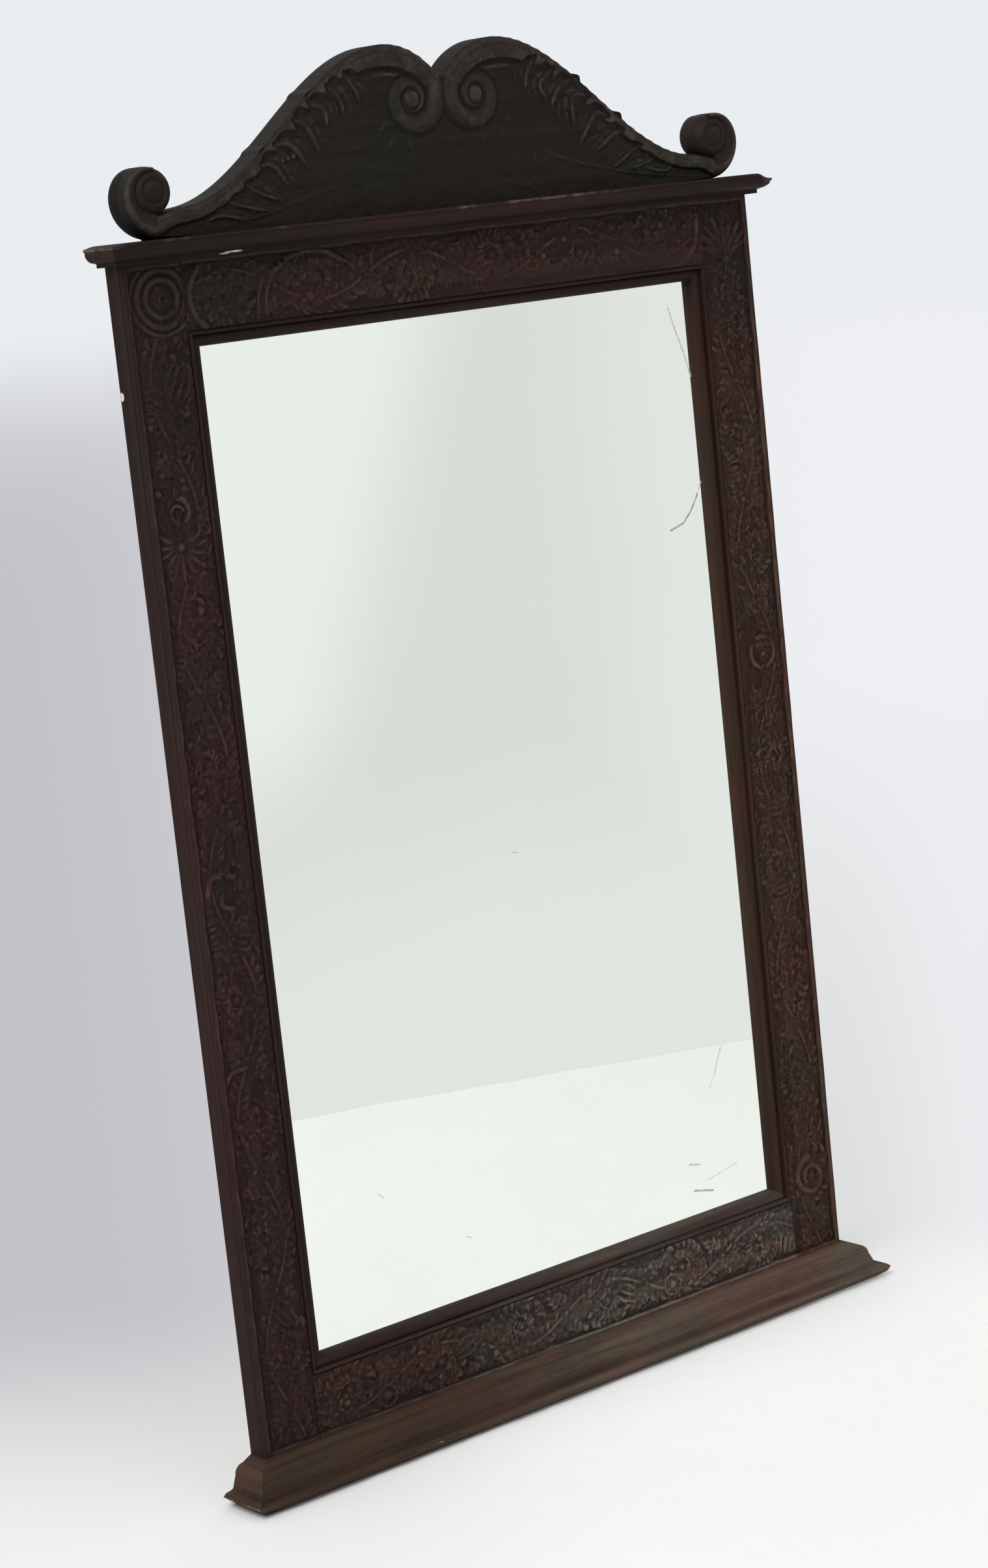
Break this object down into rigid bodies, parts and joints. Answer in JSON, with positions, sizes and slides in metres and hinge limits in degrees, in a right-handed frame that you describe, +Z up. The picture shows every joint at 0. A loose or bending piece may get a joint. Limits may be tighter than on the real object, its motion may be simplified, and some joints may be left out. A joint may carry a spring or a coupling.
{
  "type": "wall mirror",
  "caption": "Tall rectangular wall mirror in a carved dark oak frame with moulded cornice and base and a double-scrolled pediment, with hanging rings behind.",
  "frame": {"origin": "the wall face behind the centre of the glass, on the back of the middle backboard", "axes": "+X to the viewer's right, +Y into the wall, +Z up"},
  "size_m": [0.7836, 0.0637, 1.251],
  "materials": {
    "frame_oak": "dark reddish stained oak, waxed, worn",
    "moulding_oak": "reddish brown stained oak, waxed, rubbed lighter on its edges",
    "pediment_oak": "nearly black stained oak, low sheen",
    "mirror_glass": "flat silvered glass, slightly green, a few dark scratches",
    "softwood": "bare aged pine",
    "old_iron": "dull dark iron",
    "old_brass": "dull aged brass"
  },
  "bodies": {
    "frame": {"left_stile": "frame_oak", "right_stile": "frame_oak", "top_rail": "frame_oak", "bottom_rail": "frame_oak", "tenon_pegs": "softwood", "cornice_front": "moulding_oak", "cornice_left_return": "moulding_oak", "cornice_right_return": "moulding_oak", "base_front": "moulding_oak", "base_left_return": "moulding_oak", "base_right_return": "moulding_oak", "moulding_nails": "old_iron", "pediment": "pediment_oak", "pediment_dowels": "softwood", "mirror_plate": "mirror_glass", "glazing_blocks": "softwood", "upper_backboard": "softwood", "middle_backboard": "softwood", "lower_backboard": "softwood", "backboard_nails": "old_iron", "left_hanger_plate": "old_brass", "right_hanger_plate": "old_brass", "hanger_screws": "old_brass"},
    "left_ring": {"left_hanger_ring": "old_brass"},
    "right_ring": {"right_hanger_ring": "old_brass"}
  },
  "joints": [
    {"name": "left_ring_swing", "type": "hinge", "parent": "frame", "child": "left_ring", "pos_m": [-0.32925, -0.003, 0.3], "axis": [1, 0, 0], "range_deg": [0, 180]},
    {"name": "right_ring_swing", "type": "hinge", "parent": "frame", "child": "right_ring", "pos_m": [0.32925, -0.003, 0.3], "axis": [1, 0, 0], "range_deg": [0, 180]}
  ]
}
